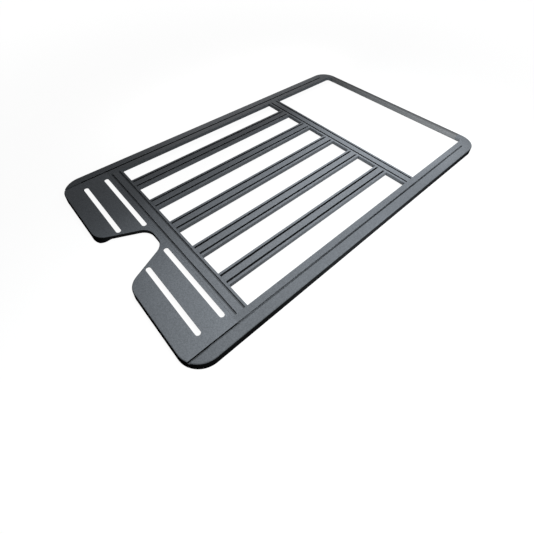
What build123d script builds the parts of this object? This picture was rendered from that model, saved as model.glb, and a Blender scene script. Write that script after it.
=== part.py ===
"""Flat platform roof rack of aluminium extrusions.

X runs along the vehicle with the open sunroof bay at +X and the antenna notch at -X, Y runs across,
and Z is up from the underside of the side rails. The deck's top face is one level all over.
"""

import os
from math import asin, cos, degrees, radians, sin, tan

from build123d import *

# Whole rack
rack_length = 2000.0
rack_width = 1220.0
rack_height = 42.0
corner_radius = 100.0
edge_radius = 5.0  # rounding of the outer top edge, all round the rack
foot_chamfer = 2.0  # outer bottom edge of rails and castings
deck_depth = 22.0  # depth of slats and crossbars below the deck face
wall = 2.5  # wall of every extrusion

# Accessory slot, the same in rails, crossbars and slats
slot_mouth = 10.0
slot_lip = 3.0
slot_chamber_width = 18.0
slot_chamber_depth = 9.0

# Side rail
rail_width = 82.0
rail_slot_offset = 48.0  # outer face to the middle of the slot
rail_floor = 3.0  # bottom wall that the feet bolt to
foot_hole_diameter = 9.0
foot_hole_spacing = 1200.0

# Front rail
front_rail_width = 40.0
front_rail_foot = 14.0

# Corner castings, with spigots that plug into the rails' hollows
bay_corner_radius = 28.0
foot_bend_radius = 46.0  # inner bend of a front casting's lower half
casting_leg = 20.0  # straight stretch between the bend and the front rail
spigot_length = 32.0
spigot_clearance = 0.3  # to the hollow's walls, all round

# Slats and crossbars share one section
bar_width = 72.0
bar_slot_spacing = 40.0
bar_edge_radius = 1.5
front_bar_offset = 1395.0  # rear edge to the middle of the front crossbar
slat_count = 5

# Plates that join slats to crossbars and crossbars to rails, under the deck
plate_thickness = 3.0
plate_width = 56.0
plate_overlap = 48.0  # lap on a slat or a crossbar end
plate_corner = 5.0  # cut-off corners

# Rear panel, a pressed tray whose rear edge is as deep as the rails
sheet = 3.0
panel_depth = 18.0  # turned-down edge in the notch and along the crossbar
flange_rise = 46.0  # length over which the rear edge runs up to that depth
notch_depth = 207.0
notch_mouth = 310.0  # width between the sides where they would meet the rear edge
notch_side_angle = 25.0  # lean of the sides away from the rack's length
notch_mouth_radius = 75.0
notch_end_radius = 65.0
notch_bridge = 22.0  # panel left between the notch and the rear crossbar
strap_slot_width = 22.0
strap_slot_margin = 104.0  # outer end of a slot from the rack's side
rear_strap_offset = 98.0  # rear edge to the middle of the rear slots
fore_strap_gap = 25.0  # middle of the fore slots to the rear crossbar
rear_strap_web = 16.0  # panel left between the notch's side and a rear slot
fore_strap_web = 26.0  # the same at a fore slot

# Places worked out from the sizes above
half_length = rack_length / 2
half_width = rack_width / 2
deck_z = rack_height - deck_depth
slot_floor_z = rack_height - slot_lip - slot_chamber_depth
rail_straight = half_length - corner_radius
rail_inner_y = half_width - rail_width
rail_box = rail_slot_offset - slot_chamber_width / 2
panel_side_y = half_width - rail_slot_offset - slot_mouth / 2
bend_centre_x = rail_straight  # the corners bend where the straight rails end
bend_centre_y = half_width - corner_radius
bend_turn = asin((panel_side_y - bend_centre_y) / corner_radius)  # where a rear bend meets the panel's side
panel_corner_x = -bend_centre_x - corner_radius * cos(bend_turn)
panel_front_x = notch_depth + notch_bridge - half_length
rear_bar_x = panel_front_x + bar_width / 2
front_bar_x = front_bar_offset - half_length
slat_start_x = rear_bar_x + bar_width / 2
slat_end_x = front_bar_x - bar_width / 2
slat_length = slat_end_x - slat_start_x
crossbar_length = 2 * rail_inner_y
slat_gap = (crossbar_length - slat_count * bar_width) / (slat_count + 1)
slat_pitch = bar_width + slat_gap
front_rail_half = bend_centre_y - casting_leg
bay_front_x = half_length - front_rail_width


def save(piece, label):
    """Names a finished piece and writes it as its own file."""
    piece.part.label = label
    export_step(piece.part, f"parts/{label}.step")


def cut_accessory_slot(middle, top):
    """Cuts the slot's mouth and its wider chamber out of a section whose deck face is at top."""
    with Locations((middle, top - slot_lip / 2)):
        Rectangle(slot_mouth, slot_lip, mode=Mode.SUBTRACT)
    with Locations((middle, top - slot_lip - slot_chamber_depth / 2)):
        Rectangle(slot_chamber_width, slot_chamber_depth, mode=Mode.SUBTRACT)


def cut_hollow(left, right, bottom, top):
    """Cuts one rectangular hollow out of a section."""
    with Locations(((left + right) / 2, (bottom + top) / 2)):
        Rectangle(right - left, top - bottom, mode=Mode.SUBTRACT)


def draw_bar_section():
    """Section of a slat or crossbar, its middle at x = 0 and its underside at y = 0."""
    with Locations((0, deck_depth / 2)):
        Rectangle(bar_width, deck_depth)
    fillet(vertices().group_by(Axis.Y)[-1], bar_edge_radius)
    for middle in (-bar_slot_spacing / 2, bar_slot_spacing / 2):
        cut_accessory_slot(middle, deck_depth)
    floor_underside = deck_depth - slot_lip - slot_chamber_depth - wall
    cut_hollow(wall - bar_width / 2, bar_width / 2 - wall, wall, floor_underside)
    rib = bar_slot_spacing / 2 - slot_chamber_width / 2 - wall
    cut_hollow(-rib, rib, wall, deck_depth - wall)


def shape_outer_edges():
    """Rounds the top and cuts the foot of a rail section, whose outer face is at x = 0."""
    fillet(vertices().group_by(Axis.X)[0].sort_by(Axis.Y)[-1], edge_radius)
    chamfer(vertices().group_by(Axis.X)[0].sort_by(Axis.Y)[0], foot_chamfer)


def rail_end_plane(side, end):
    """Plane of a side rail's end face, x inwards from its outer face; end is 1 in front, -1 behind."""
    return Plane(
        origin=(end * rail_straight, side * half_width, 0),
        x_dir=(0, -side, 0),
        z_dir=(-side, 0, 0),
    )


def draw_rail_hollow(inset):
    """Main hollow of a side rail, made smaller by inset all round."""
    with Locations((rail_box / 2, (rail_floor + rack_height - wall) / 2)):
        Rectangle(rail_box - 2 * (wall + inset), rack_height - wall - rail_floor - 2 * inset)
    crown = vertices().group_by(Axis.X)[0].sort_by(Axis.Y)[-1]
    fillet(crown, edge_radius - wall - inset)


def draw_rail_section():
    """Section of a side rail, x measured inwards from its outer face."""
    with Locations((rail_box / 2, rack_height / 2)):
        Rectangle(rail_box, rack_height)
    with Locations(((rail_box + rail_width) / 2, deck_z + deck_depth / 2)):
        Rectangle(rail_width - rail_box, deck_depth)
    shape_outer_edges()
    cut_accessory_slot(rail_slot_offset, rack_height)
    with BuildSketch(mode=Mode.PRIVATE) as hollow:
        draw_rail_hollow(0)
    add(hollow.sketch, mode=Mode.SUBTRACT)
    chamber_side = rail_slot_offset + slot_chamber_width / 2
    cut_hollow(rail_box + wall, rail_width - wall, deck_z + wall, slot_floor_z - wall)
    cut_hollow(chamber_side + wall, rail_width - wall, deck_z + wall, rack_height - wall)


def draw_nose_section():
    """Section of the front rail, shallower behind than in front, x measured back from its outer face."""
    Polygon(
        (0, 0),
        (front_rail_foot, 0),
        (front_rail_width, deck_z),
        (front_rail_width, rack_height),
        (0, rack_height),
        align=None,
    )
    shape_outer_edges()


def front_rail_plane(end):
    """Plane of the front rail's end face, x back from its outer face; end is 1 at the left."""
    return Plane(origin=(half_length, end * front_rail_half, 0), x_dir=(-1, 0, 0), z_dir=(0, 1, 0))


os.makedirs("parts", exist_ok=True)

# Side rails, each with its inner ledge cut back where the rear panel lies
for side_name, side in (("left", 1), ("right", -1)):
    with BuildPart() as side_rail:
        with BuildSketch(rail_end_plane(side, side)):
            draw_rail_section()
        extrude(amount=2 * rail_straight)
        ledge_cut = panel_front_x + rail_straight
        ledge_width = panel_side_y - rail_inner_y
        with Locations((panel_front_x - ledge_cut / 2, side * (rail_inner_y + ledge_width / 2), deck_z)):
            Box(
                ledge_cut,
                ledge_width,
                deck_depth,
                align=(Align.CENTER, Align.CENTER, Align.MIN),
                mode=Mode.SUBTRACT,
            )
        foot_plane = Plane(origin=(0, side * (half_width - rail_box / 2), 0), z_dir=(0, 0, -1))
        with Locations(foot_plane):
            with GridLocations(foot_hole_spacing, 0, 2, 1):
                Hole(foot_hole_diameter / 2, depth=rail_floor)
    save(side_rail, f"{side_name}_side_rail")

# Front rail, a hollow nose section
with BuildPart() as front_rail:
    with BuildSketch(front_rail_plane(-1)):
        draw_nose_section()
        offset(amount=-wall, mode=Mode.SUBTRACT)
    extrude(amount=2 * front_rail_half)
save(front_rail, "front_rail")

# Front corner castings between the side rails and the front rail
for side_name, side in (("left", 1), ("right", -1)):
    bend_middle = corner_radius * sin(radians(45))
    with BuildPart() as front_corner:
        with BuildSketch(Plane.XY.offset(deck_z)) as deck_outline:
            with BuildLine():
                ThreePointArc(
                    (bend_centre_x, side * half_width),
                    (bend_centre_x + bend_middle, side * (bend_centre_y + bend_middle)),
                    (half_length, side * bend_centre_y),
                )
                Polyline(
                    (half_length, side * bend_centre_y),
                    (half_length, side * front_rail_half),
                    (bay_front_x, side * front_rail_half),
                    (bay_front_x, side * rail_inner_y),
                    (rail_straight, side * rail_inner_y),
                    (rail_straight, side * half_width),
                )
            make_face()
            bay_point = (bay_front_x, side * rail_inner_y, deck_z)
            bay_corner = deck_outline.vertices().sort_by_distance(bay_point)[0]
            fillet(bay_corner, bay_corner_radius)
        extrude(amount=deck_depth)
        with BuildSketch(Plane.XY):
            with BuildLine():
                ThreePointArc(
                    (bend_centre_x, side * half_width),
                    (bend_centre_x + bend_middle, side * (bend_centre_y + bend_middle)),
                    (half_length, side * bend_centre_y),
                )
                Polyline(
                    (half_length, side * bend_centre_y),
                    (half_length, side * front_rail_half),
                    (half_length - front_rail_foot, side * front_rail_half),
                )
                FilletPolyline(
                    (half_length - front_rail_foot, side * front_rail_half),
                    (half_length - front_rail_foot, side * (half_width - rail_box)),
                    (rail_straight, side * (half_width - rail_box)),
                    radius=foot_bend_radius,
                )
                Line((rail_straight, side * (half_width - rail_box)), (rail_straight, side * half_width))
            make_face()
        extrude(amount=deck_z)
        top_edges = front_corner.edges().group_by(Axis.Z)[-1]
        bend_edge = top_edges.sort_by_distance((half_length, side * half_width, rack_height))[0]
        fillet(bend_edge, edge_radius)
        foot_edges = front_corner.edges().group_by(Axis.Z)[0]
        foot_edge = foot_edges.sort_by_distance((half_length, side * half_width, 0))[0]
        chamfer(foot_edge, foot_chamfer)
        with BuildSketch(rail_end_plane(side, 1)):
            draw_rail_hollow(spigot_clearance)
        extrude(amount=side * spigot_length)
        with BuildSketch(front_rail_plane(side)):
            draw_nose_section()
            offset(amount=-wall - spigot_clearance)
            Rectangle(front_rail_width, deck_z, align=Align.MIN, mode=Mode.SUBTRACT)  # upper half only
        extrude(amount=-side * spigot_length)
    save(front_corner, f"front_{side_name}_corner")

# Rear corner castings that close the rails' ends, with the slot run out to the rear edge
for side_name, side in (("left", 1), ("right", -1)):
    bend_half = (radians(90) + bend_turn) / 2
    with BuildPart() as rear_corner:
        with BuildSketch(Plane.XY):
            with BuildLine():
                ThreePointArc(
                    (-bend_centre_x, side * half_width),
                    (
                        -bend_centre_x - corner_radius * cos(bend_half),
                        side * (bend_centre_y + corner_radius * sin(bend_half)),
                    ),
                    (panel_corner_x, side * panel_side_y),
                )
                Polyline(
                    (panel_corner_x, side * panel_side_y),
                    (-rail_straight, side * panel_side_y),
                    (-rail_straight, side * half_width),
                )
            make_face()
        extrude(amount=rack_height)
        top_bend = rear_corner.edges().filter_by(GeomType.CIRCLE).sort_by(Axis.Z)[-1]
        fillet(top_bend, edge_radius)
        foot_bend = rear_corner.edges().filter_by(GeomType.CIRCLE).sort_by(Axis.Z)[0]
        chamfer(foot_bend, foot_chamfer)
        with Locations((-half_length, side * (panel_side_y + slot_mouth / 2), slot_floor_z)):
            Box(
                2 * corner_radius,
                slot_mouth,
                rack_height,
                align=(Align.CENTER, Align.CENTER, Align.MIN),
                mode=Mode.SUBTRACT,
            )
        with BuildSketch(rail_end_plane(side, -1)):
            draw_rail_hollow(spigot_clearance)
        extrude(amount=-side * spigot_length)
    save(rear_corner, f"rear_{side_name}_corner")

# Crossbars
for bar_name, bar_x in (("rear", rear_bar_x), ("front", front_bar_x)):
    bar_end = Plane(origin=(bar_x, -rail_inner_y, deck_z), x_dir=(-1, 0, 0), z_dir=(0, 1, 0))
    with BuildPart() as crossbar:
        with BuildSketch(bar_end):
            draw_bar_section()
        extrude(amount=crossbar_length)
    save(crossbar, f"{bar_name}_crossbar")

# Deck slats, counted from the left side
slat_rows = [slat_pitch * ((slat_count - 1) / 2 - index) for index in range(slat_count)]
for index, slat_y in enumerate(slat_rows, start=1):
    slat_end = Plane(origin=(slat_start_x, slat_y, deck_z), x_dir=(0, 1, 0), z_dir=(1, 0, 0))
    with BuildPart() as deck_slat:
        with BuildSketch(slat_end):
            draw_bar_section()
        extrude(amount=slat_length)
    save(deck_slat, f"deck_slat_{index}")

# Joining plates under each end of each slat
plate_z = deck_z - plate_thickness
plate_reach = plate_overlap + bar_width / 2
for bar_name, joint_x, towards_slat in (("rear", slat_start_x, 1), ("front", slat_end_x, -1)):
    plate_x = joint_x + towards_slat * (plate_overlap - plate_reach / 2)
    for index, slat_y in enumerate(slat_rows, start=1):
        with BuildPart() as slat_plate:
            with BuildSketch(Plane((plate_x, slat_y, plate_z))):
                Rectangle(plate_reach, plate_width)
                chamfer(vertices(), plate_corner)
            extrude(amount=plate_thickness)
        save(slat_plate, f"{bar_name}_slat_plate_{index}")

# Joining plates between the crossbars' ends and the rails' ledges
ledge_lap = rail_width - rail_box
for bar_name, bar_x in (("rear", rear_bar_x), ("front", front_bar_x)):
    for side_name, side in (("left", 1), ("right", -1)):
        plate_y = side * (rail_inner_y + (ledge_lap - plate_overlap) / 2)
        with BuildPart() as rail_plate:
            with BuildSketch(Plane((bar_x, plate_y, plate_z))):
                Rectangle(plate_width, plate_overlap + ledge_lap)
                chamfer(vertices(), plate_corner)
            extrude(amount=plate_thickness)
        save(rail_plate, f"{bar_name}_{side_name}_rail_plate")

# Rear panel, a tray with turned-down edges, the antenna notch and the strap slots


def notch_half_width(depth):
    """Half the notch's width at a depth from the rear edge, before its corners are rounded."""
    return notch_mouth / 2 - depth * tan(radians(notch_side_angle))


notch_end = notch_half_width(notch_depth)
fore_strap_offset = panel_front_x + half_length - fore_strap_gap
strap_rows = {
    rear_strap_offset: notch_half_width(rear_strap_offset) + rear_strap_web,
    fore_strap_offset: notch_half_width(fore_strap_offset) + fore_strap_web,
}
with BuildPart() as rear_panel:
    with BuildSketch(Plane.XY) as tray:
        with BuildLine():
            Polyline(
                (panel_corner_x, panel_side_y),
                (panel_front_x, panel_side_y),
                (panel_front_x, -panel_side_y),
                (panel_corner_x, -panel_side_y),
            )
            CenterArc(
                (-bend_centre_x, -bend_centre_y),
                corner_radius,
                180,
                degrees(bend_turn),
            )
            Polyline(
                (-half_length, -bend_centre_y),
                (-half_length, -notch_mouth / 2),
                (notch_depth - half_length, -notch_end),
                (notch_depth - half_length, notch_end),
                (-half_length, notch_mouth / 2),
                (-half_length, bend_centre_y),
            )
            CenterArc(
                (-bend_centre_x, bend_centre_y),
                corner_radius,
                180,
                -degrees(bend_turn),
            )
        make_face()
        for turn in (-1, 1):
            mouth = tray.vertices().sort_by_distance((-half_length, turn * notch_mouth / 2, 0))[0]
            fillet(mouth, notch_mouth_radius)
            end = tray.vertices().sort_by_distance((notch_depth - half_length, turn * notch_end, 0))[0]
            fillet(end, notch_end_radius)
    extrude(amount=rack_height)
    rim = rear_panel.edges().group_by(Axis.Z)[-1]
    rear_edge = rim.sort_by_distance((-half_length, half_width / 2, rack_height))[0]
    fillet(rear_edge, edge_radius)
    offset(amount=-sheet, openings=rear_panel.faces().sort_by(Axis.Z)[0])
    with BuildSketch(Plane.XZ):
        with BuildLine():
            Polyline(
                (panel_corner_x, 0),
                (panel_corner_x + flange_rise, rack_height - panel_depth),
                (panel_front_x, rack_height - panel_depth),
                (panel_front_x, 0),
                close=True,
            )
        make_face()
    extrude(amount=half_width, both=True, mode=Mode.SUBTRACT)
    strap_slot_end = half_width - strap_slot_margin
    for slot_offset, slot_start in strap_rows.items():
        slot_length = strap_slot_end - slot_start
        for side in (-1, 1):
            slot_y = side * (slot_start + strap_slot_end) / 2
            with BuildSketch(Plane((slot_offset - half_length, slot_y, rack_height))):
                SlotOverall(slot_length, strap_slot_width, rotation=90)
            extrude(amount=-2 * sheet, mode=Mode.SUBTRACT)
save(rear_panel, "rear_panel")
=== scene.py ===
import math

import bpy
import numpy as np
from mathutils import Matrix, Vector


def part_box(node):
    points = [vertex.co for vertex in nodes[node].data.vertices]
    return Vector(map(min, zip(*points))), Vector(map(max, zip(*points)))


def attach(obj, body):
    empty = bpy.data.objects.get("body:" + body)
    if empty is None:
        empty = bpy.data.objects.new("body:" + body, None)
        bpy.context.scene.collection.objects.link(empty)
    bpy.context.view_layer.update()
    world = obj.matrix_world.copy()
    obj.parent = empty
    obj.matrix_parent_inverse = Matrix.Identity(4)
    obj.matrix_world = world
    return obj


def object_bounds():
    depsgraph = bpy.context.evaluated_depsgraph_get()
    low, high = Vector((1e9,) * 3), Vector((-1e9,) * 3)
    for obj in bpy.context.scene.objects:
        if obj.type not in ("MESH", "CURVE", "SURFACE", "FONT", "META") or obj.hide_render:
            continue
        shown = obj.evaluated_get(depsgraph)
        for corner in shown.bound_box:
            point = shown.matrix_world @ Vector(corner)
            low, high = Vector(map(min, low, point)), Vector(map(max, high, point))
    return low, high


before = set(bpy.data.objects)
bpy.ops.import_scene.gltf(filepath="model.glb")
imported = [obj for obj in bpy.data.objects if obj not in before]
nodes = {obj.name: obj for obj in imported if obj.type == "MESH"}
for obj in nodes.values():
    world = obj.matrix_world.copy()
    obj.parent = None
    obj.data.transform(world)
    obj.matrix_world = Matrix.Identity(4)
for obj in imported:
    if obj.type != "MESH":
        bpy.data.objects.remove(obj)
cadBox = [list(corner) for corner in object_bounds()]
rearEnd = cadBox[0][0]
frontEnd, leftSide, deckTop = cadBox[1]
print("frame:", len(nodes), "nodes")


# Shader wiring: a Wire is one socket, and arithmetic on it adds Math nodes

class Wire:
    def __init__(self, tree, socket=None):
        self.tree = tree
        self.socket = socket

    def node(self, kind, settings={}, inputs={}, out=0):
        made = self.tree.nodes.new(kind)
        for name, value in settings.items():
            setattr(made, name, value)
        for key, value in inputs.items():
            if isinstance(value, Wire):
                self.tree.links.new(value.socket, made.inputs[key])
            else:
                made.inputs[key].default_value = value
        return Wire(self.tree, made.outputs[out] if made.outputs else None)

    def other(self, out):  # another output of the same node
        return Wire(self.tree, self.socket.node.outputs[out])

    def maths(self, operation, *values):
        return self.node("ShaderNodeMath", {"operation": operation}, dict(enumerate(values)))

    def __add__(self, value):
        return self.maths("ADD", self, value)

    def __sub__(self, value):
        return self.maths("SUBTRACT", self, value)

    def __rsub__(self, value):
        return self.maths("SUBTRACT", value, self)

    def __mul__(self, value):
        return self.maths("MULTIPLY", self, value)

    def __abs__(self):
        return self.maths("ABSOLUTE", self)

    __radd__ = __add__
    __rmul__ = __mul__

    def least(self, value):
        return self.maths("MINIMUM", self, value)

    def most(self, value):
        return self.maths("MAXIMUM", self, value)

    def fade(self, low, high):  # smooth step from 0 at low to 1 at high
        return self.node("ShaderNodeMapRange", {"interpolation_type": "SMOOTHSTEP"},
                         {"Value": self, "From Min": low, "From Max": high})

    def tint(self, colour):  # the colour times this value
        return self.node("ShaderNodeVectorMath", {"operation": "SCALE"}, {0: colour, "Scale": self})

    def part(self, axis):  # self is a vector here and in noise
        return self.node("ShaderNodeSeparateXYZ", {}, {0: self}, out=axis)

    def noise(self, scale, detail, rough):
        return self.node("ShaderNodeTexNoise", {}, {"Vector": self, "Scale": scale, "Detail": detail,
                                                    "Roughness": rough})


def newMaterial(name):
    material = bpy.data.materials.new(name)
    material.use_nodes = True
    material.node_tree.nodes.clear()
    return material, Wire(material.node_tree)


# Powder coat: one finish, with its own grain and tone on each kind of metal; a noise is given as its
# scale, detail and roughness

coatLooks = {
    "coated_extrusion": {"colour": (0.098, 0.102, 0.110), "rough": 0.52, "grain": 1500.0, "depth": 0.00006},
    "coated_rail": {"colour": (0.085, 0.089, 0.096), "rough": 0.54, "grain": 1500.0, "depth": 0.00006},
    # front rail: a lighter coat as painted light on its inner part and wall, darkened to its outer edge by
    # painted shade
    "coated_nose": {"colour": (0.117, 0.117, 0.119), "rough": 0.54, "grain": 1500.0, "depth": 0.00006},
    "coated_casting": {"colour": (0.085, 0.089, 0.096), "rough": 0.56, "grain": 1200.0, "depth": 0.00008},
    "coated_sheet": {"colour": (0.104, 0.109, 0.118), "rough": 0.50, "grain": 1500.0, "depth": 0.00006},
    "coated_plate": {"colour": (0.060, 0.062, 0.066), "rough": 0.60, "grain": 1300.0, "depth": 0.00007},
}
coatShared = {"specular": 0.06, "cloud": (2.6, 3.0, 0.5), "cloudTone": 0.20,
              "mottle": (230.0, 4.0, 0.75), "mottleTone": 1.60, "mottleRough": 0.10, "mottleRise": 0.8,
              "grainDetail": (3.0, 0.65), "grainTone": 0.24, "grainRough": 0.20, "relief": 0.6}
rubLook = {"tone": 1.7, "width": 0.0016, "depth": 0.0014, "patches": (38.0, 3.0, 0.7),
           "patchEdge": (0.48, 0.66)}
# painted shade: the near-black coat that stands for shade on the lower outer walls
shadeBandLook = {"colour": (0.0120, 0.0122, 0.0128), "rough": 0.8, "specular": 0.0}


def above(place, drop, blur):
    # 1 above the level that lies drop below the deck's top, 0 under it
    level = deckTop - drop
    return place.part("Z").fade(level - blur, level + blur)


def coatMaterial(name, look, rubDistance=None, shaded=None, skirt=None):
    # tone = cloud, mottle and grain, lighter in patches beside a rubbed top edge, and scaled by painted
    # light or painted shade in the shaded zone; in the skirt zone the coat gives way to a matt black band
    # of painted shade
    material, wire = newMaterial(name)
    place = wire.node("ShaderNodeTexCoord", out="Object")
    cloud = place.noise(*coatShared["cloud"]) - 0.5
    mottle = place.noise(*coatShared["mottle"]) - 0.5
    grain = place.noise(look["grain"], *coatShared["grainDetail"]) - 0.5
    tone = 1.0 + cloud * coatShared["cloudTone"] + mottle * coatShared["mottleTone"]
    tone = tone * (1.0 + grain * coatShared["grainTone"])
    if rubDistance:
        near = 1.0 - rubDistance(place).fade(0.0, rubLook["width"])
        top = above(place, 1.5 * rubLook["depth"], 0.5 * rubLook["depth"])
        worn = near * top * place.noise(*rubLook["patches"]).fade(*rubLook["patchEdge"])
        tone = tone * (1.0 + worn * (rubLook["tone"] - 1.0))
    if shaded:
        zone, shade = shaded
        tone = tone * (1.0 - zone(place) * (1.0 - shade))
    rough = look["rough"] + grain * coatShared["grainRough"] + mottle * coatShared["mottleRough"]
    relief = wire.node("ShaderNodeBump", {}, {"Strength": coatShared["relief"], "Distance": look["depth"],
                                              "Height": grain + mottle * coatShared["mottleRise"]})
    coat = wire.node("ShaderNodeBsdfPrincipled", {}, {
        "Base Color": tone.tint(look["colour"]), "Roughness": rough, "Normal": relief,
        "Specular IOR Level": coatShared["specular"]})
    if skirt:
        # painted shade: a near-black coat on the lower walls, mixed in by the skirt zone
        band = wire.node("ShaderNodeBsdfPrincipled", {}, {
            "Base Color": tone.tint(shadeBandLook["colour"]), "Roughness": shadeBandLook["rough"], "Normal": relief,
            "Specular IOR Level": shadeBandLook["specular"]})
        coat = wire.node("ShaderNodeMixShader", {}, {0: skirt(place), 1: coat, 2: band})
    wire.node("ShaderNodeOutputMaterial", {}, {"Surface": coat})
    return material


# Places across the pieces, and the edges where their coat is rubbed; the rail's slot is measured from the
# outer wall and the strap rows from the rear end

def middleOf(node, axis):
    low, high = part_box(node)
    return (low[axis] + high[axis]) / 2


section = {"slotMiddle": 0.020, "lip": 0.005, "barEdge": 0.036, "railSlot": 0.048,
           "slatPitch": middleOf("deck_slat_1", 1) - middleOf("deck_slat_2", 1),
           "strapRows": (0.098, 0.204), "strapHalf": 0.011}


def slatOffset(place):
    pitch = section["slatPitch"]
    return abs(place.maths("WRAP", place.part("Y"), pitch / 2, -pitch / 2))


def crossbarOffset(middle):
    return lambda place: abs(place.part("X") - middle)


def railOffset(place):
    return abs(abs(place.part("Y")) - (leftSide - section["railSlot"]))


def barRub(offset):
    # least distance from the offset across a bar to its two slot lips and its edge
    def distance(place):
        across = offset(place)
        lips = abs(abs(across - section["slotMiddle"]) - section["lip"])
        return lips.least(abs(across - section["barEdge"]))
    return distance


def railRub(place):
    return abs(railOffset(place) - section["lip"])


def strapRub(place):
    along = place.part("X") - rearEnd
    rear, fore = section["strapRows"]
    return abs(abs(along - rear).least(abs(along - fore)) - section["strapHalf"])


# Zones of painted light and shade: painted shade in the slots' chambers, painted light in the right
# rail's chamber, and painted shade along the front rail's outer edge, which runs from inner to outer,
# measured from the front end

chamberLook = {"half": 0.0092, "sideBlur": 0.0006, "top": 0.0014, "floor": 0.0130, "blur": 0.0005}
# slot chamber tones: below 1 is painted shade in the recess, above 1 (the right rail) is painted light
chamberLightAndShade = {"slat": 0.15, "front_crossbar": 0.15, "rear_crossbar": 0.8,
               "left_side_rail": 0.05, "right_side_rail": 1.35}
# the front rail's outer edge: painted shade of a rounded nose, from the inner to the outer end of the zone
noseShadeLook = {"inner": 0.045, "outer": 0.008, "shade": 0.42}


def chamberZone(offset, middle):
    # 1 inside the slot's chamber, where its painted shade or painted light goes: close to the slot's middle
    #     # and between its lip and its floor
    half, blur = chamberLook["half"], chamberLook["blur"]

    def zone(place):
        beside = 1.0 - abs(offset(place) - middle).fade(half, half + chamberLook["sideBlur"])
        under = 1.0 - above(place, chamberLook["top"], blur)
        return beside * under * above(place, chamberLook["floor"], blur)
    return zone


def noseShadeZone(place):
    # painted shade: 0 at the inner end of the zone, 1 at the front rail's outer edge
    return place.part("X").fade(frontEnd - noseShadeLook["inner"], frontEnd - noseShadeLook["outer"])


# Zones of the black band, painted shade on the frame's outer walls and the tray's walls, below their
# rounded edges

shadeBandOutline = {"corner": 0.100, "skin": 0.0012, "skirtTop": 0.0032, "trayTop": 0.0010, "blur": 0.0008,
           "upright": (0.72, 0.92)}


def skirtShadeZone(place):
    # where the painted shade goes on the frame's outer walls
    # rounded rectangle: |max(q, 0)| + min(max(qx, qy), 0) - r, with q = |p| - (half - r), is 0 on the
    # outer wall and negative inside it
    radius = shadeBandOutline["corner"]
    qx = abs(place.part("X")) - (frontEnd - radius)
    qy = abs(place.part("Y")) - (leftSide - radius)
    px, py = qx.most(0.0), qy.most(0.0)
    outside = place.maths("SQRT", px * px + py * py)
    depth = outside + qx.most(qy).least(0.0) - radius
    below = 1.0 - above(place, shadeBandOutline["skirtTop"], shadeBandOutline["blur"])
    return depth.fade(-2 * shadeBandOutline["skin"], -shadeBandOutline["skin"]) * below


def trayShadeZone(place):
    # walls of the tray, where painted shade goes: faces that stand upright, below the start of the bend
    facing = place.node("ShaderNodeNewGeometry", out="Normal").part("Z")
    below = 1.0 - above(place, shadeBandOutline["trayTop"], shadeBandOutline["blur"])
    return (1.0 - abs(facing).fade(*shadeBandOutline["upright"])) * below


def extrusionCoat(name, offset):
    # the slot chamber carries painted shade, or painted light where its tone is above 1
    chamber = chamberZone(offset, section["slotMiddle"]), chamberLightAndShade[name]
    return coatMaterial(name + "_coat", coatLooks["coated_extrusion"], barRub(offset), chamber)


def railCoat(name):
    # the rail chamber: painted shade on the left rail, painted light on the right rail
    chamber = chamberZone(railOffset, 0.0), chamberLightAndShade[name]
    return coatMaterial(name + "_coat", coatLooks["coated_rail"], railRub, chamber, skirtShadeZone)


coats = {
    "slat": extrusionCoat("slat", slatOffset),
    # front rail: painted light in its lighter coat, painted shade toward its outer edge
    "front_rail": coatMaterial("front_rail_coat", coatLooks["coated_nose"],
                               shaded=(noseShadeZone, noseShadeLook["shade"]), skirt=skirtShadeZone),
    "corner": coatMaterial("corner_coat", coatLooks["coated_casting"], skirt=skirtShadeZone),
    "panel": coatMaterial("panel_coat", coatLooks["coated_sheet"], strapRub, skirt=trayShadeZone),
    "plate": coatMaterial("plate_coat", coatLooks["coated_plate"]),
}
for bar in ("rear_crossbar", "front_crossbar"):
    coats[bar] = extrusionCoat(bar, crossbarOffset(middleOf(bar, 0)))
for rail in ("left_side_rail", "right_side_rail"):
    coats[rail] = railCoat(rail)
for name, thing in nodes.items():
    # a piece's own coat if it has one, or else the coat of its kind; a slat plate is a plate
    kind = next(key for key in (name, "plate", "slat", "corner", "panel") if key in coats and key in name)
    thing.data.materials.clear()
    thing.data.materials.append(coats[kind])
print("coats:", len(coats))


# Screws under the joining plates, two into each of the pieces that a plate joins

screwHead = {"flange": 0.0065, "flangeDepth": 0.0011, "flangeEase": 0.0004, "step": 0.0003,
             "dome": 0.0052, "domeDepth": 0.0026, "domeRows": 7, "mouth": 0.0026,
             "socket": 0.0021, "socketDepth": 0.0022, "socketTip": 0.0006,
             "sunk": 0.0002, "spread": 0.30, "turns": 36, "crease": 40.0}
steelLook = {"colour": (0.42, 0.42, 0.43), "rough": 0.34, "streak": (900.0, 2.0, 0.5), "streakRough": 0.25,
             "spot": (260.0, 3.0, 0.5), "spotTone": 0.30}


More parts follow.
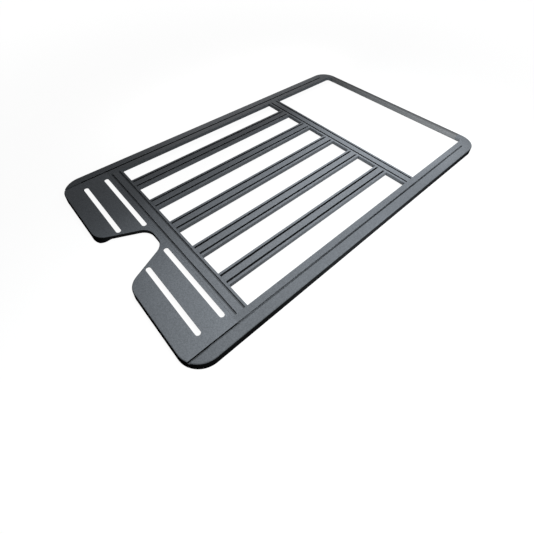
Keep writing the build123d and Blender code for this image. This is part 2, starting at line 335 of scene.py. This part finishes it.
def screwGrid(look):
    # turned profile (radius, depth) by angle; in the socket rows the radius follows a hexagon,
    # r / cos(angle folded into one of six sides)
    turns, step = look["turns"], look["step"]
    arc = np.linspace(0.0, np.arccos(look["mouth"] / look["dome"]), look["domeRows"])
    domeFoot = look["flangeDepth"] + step
    top = domeFoot + look["domeDepth"] * np.sin(arc[-1])
    radius = np.concatenate([[look["flange"], look["flange"], look["flange"] - look["flangeEase"]],
                             look["dome"] * np.cos(arc), [look["socket"], look["socket"]]])
    depth = np.concatenate([[-look["sunk"], look["flangeDepth"] - step, look["flangeDepth"]],
                            domeFoot + look["domeDepth"] * np.sin(arc),
                            [top - step, top - look["socketDepth"]]])
    hexed = np.concatenate([np.zeros(len(radius) - 2), [1.0, 1.0]])
    angle = np.linspace(0.0, 2 * np.pi, turns, endpoint=False)
    fold = 1 / np.cos((angle + np.pi / 6) % (np.pi / 3) - np.pi / 6)
    reach = radius[:, None] * (1 + hexed[:, None] * (fold[None, :] - 1))
    rings = np.stack([reach * np.cos(angle), -reach * np.sin(angle), -depth[:, None] + 0 * reach], -1)
    first = [[0.0, 0.0, look["sunk"]]]
    last = [[0.0, 0.0, look["socketDepth"] - top - look["socketTip"]]]
    points = np.concatenate([first, rings.reshape(-1, 3), last])
    turn = np.arange(turns)
    rowStart = 1 + turns * np.arange(len(radius))[:, None]
    here = rowStart + turn
    beside = rowStart + (turn + 1) % turns
    quads = np.stack([here[:-1], beside[:-1], beside[1:], here[1:]], -1).reshape(-1, 4)
    foot = np.stack([0 * turn, beside[0], here[0]], -1)
    tip = np.stack([here[-1], beside[-1], 0 * turn + len(points) - 1], -1)
    return points, quads, np.concatenate([foot, tip])


def steelMaterial(look):
    material, wire = newMaterial("screw_steel")
    place = wire.node("ShaderNodeTexCoord", out="Object")
    tone = 1.0 + (place.noise(*look["spot"]) - 0.5) * look["spotTone"]
    rough = look["rough"] + (place.noise(*look["streak"]) - 0.5) * look["streakRough"]
    steel = wire.node("ShaderNodeBsdfPrincipled", {}, {
        "Base Color": tone.tint(look["colour"]), "Roughness": rough, "Metallic": 1.0})
    wire.node("ShaderNodeOutputMaterial", {}, {"Surface": steel})
    return material


def makeScrews(name, plates, look, material):
    # every plate carries four heads, set in from its corners
    points, quads, tris = screwGrid(look)
    boxes = np.array([[list(corner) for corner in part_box(plate)] for plate in plates])
    middle, size = boxes.mean(1), boxes[:, 1] - boxes[:, 0]
    signs = np.array([(-1, -1), (-1, 1), (1, -1), (1, 1)]) * look["spread"]
    seats = np.concatenate([middle[:, None, :2] + signs[None] * size[:, None, :2],
                            np.repeat(boxes[:, None, :1, 2], len(signs), 1)], -1).reshape(-1, 3)
    allPoints = (seats[:, None] + points[None]).reshape(-1, 3)
    step = (np.arange(len(seats)) * len(points))[:, None, None]
    faces = (quads[None] + step).reshape(-1, 4).tolist() + (tris[None] + step).reshape(-1, 3).tolist()
    mesh = bpy.data.meshes.new(name)
    mesh.from_pydata(allPoints.tolist(), [], faces)
    mesh.materials.append(material)
    mesh.shade_smooth()
    mesh.set_sharp_from_angle(angle=math.radians(look["crease"]))
    screws = bpy.data.objects.new(name, mesh)
    bpy.context.scene.collection.objects.link(screws)
    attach(screws, "root")


steel = steelMaterial(steelLook)
for name in ("slat_plate", "rail_plate"):
    makeScrews(name + "_screws", sorted(node for node in nodes if name in node), screwHead, steel)
print("screws")


# Floor, world and softboxes

floorLook = {"half": 20.0, "rows": 3, "near": 0.95, "nearReach": 1.3, "farReach": 3.5, "bounce": 0.06,
             "shown": 0.11}


def seenRay(wire):
    # 1 for rays from the camera and for those that mirrors and glass send on
    path = wire.node("ShaderNodeLightPath", out="Is Camera Ray")
    return path.most(path.other("Is Glossy Ray")).most(path.other("Is Transmission Ray"))


def makeFloor(look):
    # flat sheet: x = half * u, y = half * v, z = 0 for u, v from -1 to 1
    rows = look["rows"]
    u, v = np.meshgrid(np.linspace(-1, 1, rows), np.linspace(-1, 1, rows), indexing="ij")
    points = np.stack([look["half"] * u, look["half"] * v, 0 * u], -1).reshape(-1, 3)
    corner = (np.arange(rows - 1)[:, None] * rows + np.arange(rows - 1)[None, :]).ravel()
    faces = np.stack([corner, corner + rows, corner + rows + 1, corner + 1], -1)
    mesh = bpy.data.meshes.new("floor")
    mesh.from_pydata(points.tolist(), [], faces.tolist())
    floor = bpy.data.objects.new("floor", mesh)
    bpy.context.scene.collection.objects.link(floor)
    material, wire = newMaterial("floor_white")
    place = wire.node("ShaderNodeTexCoord", out="Object")
    away = wire.node("ShaderNodeVectorMath", {"operation": "LENGTH"}, {0: place}, out="Value")
    glow = look["near"] + away.fade(look["nearReach"], look["farReach"]) * (1 - look["near"])
    shine = wire.node("ShaderNodeEmission", {}, {"Color": glow.tint((1, 1, 1)), "Strength": 1.0})
    lit = wire.node("ShaderNodeBsdfDiffuse", {}, {"Color": (look["shown"],) * 3 + (1,)})
    shown = wire.node("ShaderNodeAddShader", {}, {0: shine, 1: lit})
    plain = wire.node("ShaderNodeBsdfDiffuse", {}, {"Color": (look["bounce"],) * 3 + (1,)})
    mixed = wire.node("ShaderNodeMixShader", {}, {0: seenRay(wire), 1: plain, 2: shown})
    wire.node("ShaderNodeOutputMaterial", {}, {"Surface": mixed})
    material.cycles.emission_sampling = "NONE"
    mesh.materials.append(material)


makeFloor(floorLook)

worldLook = {"fill": 0.03, "tint": (0.92, 0.96, 1.0, 1)}


def makeWorld(look):
    world = bpy.data.worlds.new("studio")
    world.use_nodes = True
    world.node_tree.nodes.clear()
    wire = Wire(world.node_tree)
    fill = wire.node("ShaderNodeBackground", {}, {"Color": look["tint"], "Strength": look["fill"]})
    white = wire.node("ShaderNodeBackground", {}, {"Color": (1, 1, 1, 1), "Strength": 1.0})
    mixed = wire.node("ShaderNodeMixShader", {}, {0: seenRay(wire), 1: fill, 2: white})
    wire.node("ShaderNodeOutputWorld", {}, {"Surface": mixed})
    bpy.context.scene.world = world


makeWorld(worldLook)

softboxes = {
    "over": {"at": (0.30, 0.185, 0.72), "to": (0.54, -1.49, 0.20), "size": (1.35, 0.15),
             "watts": 24.5, "colour": (0.92, 0.97, 1.0)},
    "camera side": {"at": (-0.70, -0.87, 0.81), "to": (-0.83, -0.89, -0.05), "size": (1.47, 0.38),
                    "watts": 14.6, "colour": (0.93, 0.98, 1.0)},
    "left": {"at": (0.41, 0.755, 0.45), "to": (0.41, 0.95, 0.09), "size": (1.70, 0.32),
             "watts": 5.6, "colour": (1.0, 0.99, 0.97)},
    "right front": {"at": (-0.12, -1.34, 0.45), "to": (0.73, -0.99, -0.19), "size": (0.43, 1.24),
                    "watts": 32.2, "colour": (0.90, 0.96, 1.0)},
    "front corner": {"at": (0.70, -0.50, 0.35), "to": (0.82, -0.33, 0.115), "size": (0.54, 0.22),
                     "watts": 2.5, "colour": (0.94, 0.98, 1.0)},
}


def makeSoftbox(name, look):
    data = bpy.data.lights.new(name, "AREA")
    data.shape = "RECTANGLE"
    data.size, data.size_y = look["size"]
    data.energy = look["watts"]
    data.color = look["colour"]
    lamp = bpy.data.objects.new(name, data)
    bpy.context.scene.collection.objects.link(lamp)
    aim = Vector(look["to"]) - Vector(look["at"])
    lamp.rotation_euler = aim.to_track_quat("-Z", "Y").to_euler()
    lamp.location = look["at"]
    lamp.visible_camera = False


for name, look in softboxes.items():
    makeSoftbox(name, look)
bpy.context.scene.view_settings.view_transform = "Standard"
print("floor and light")


# Camera, placed by its turn round the rack, its height angle and its roll

photoCamera = {"turn": -42.36, "height": 41.57, "roll": 1.06, "target": (-0.1688, -0.0425, 0.042),
               "distance": 1.9759, "focalPixels": 380.08, "imagePixels": 534, "centreRow": 180.0,
               "clipEnd": 200.0}


def makeCamera(look):
    turn, height, roll = (math.radians(look[key]) for key in ("turn", "height", "roll"))
    back = Vector((math.sin(turn) * math.cos(height), -math.cos(turn) * math.cos(height), math.sin(height)))
    level = Vector((math.cos(turn), math.sin(turn), 0.0))
    upright = back.cross(level)
    right = math.cos(roll) * level + math.sin(roll) * upright
    up = math.cos(roll) * upright - math.sin(roll) * level
    data = bpy.data.cameras.new("photo_camera")
    data.lens = data.sensor_width * look["focalPixels"] / look["imagePixels"]
    data.shift_y = (look["centreRow"] - look["imagePixels"] / 2) / look["imagePixels"]
    data.clip_end = look["clipEnd"]
    camera = bpy.data.objects.new("photo_camera", data)
    bpy.context.scene.collection.objects.link(camera)
    axes = Matrix((right, up, back)).transposed().to_4x4()
    camera.matrix_world = Matrix.Translation(Vector(look["target"]) + look["distance"] * back) @ axes
    bpy.context.scene.camera = camera


makeCamera(photoCamera)
print("camera")
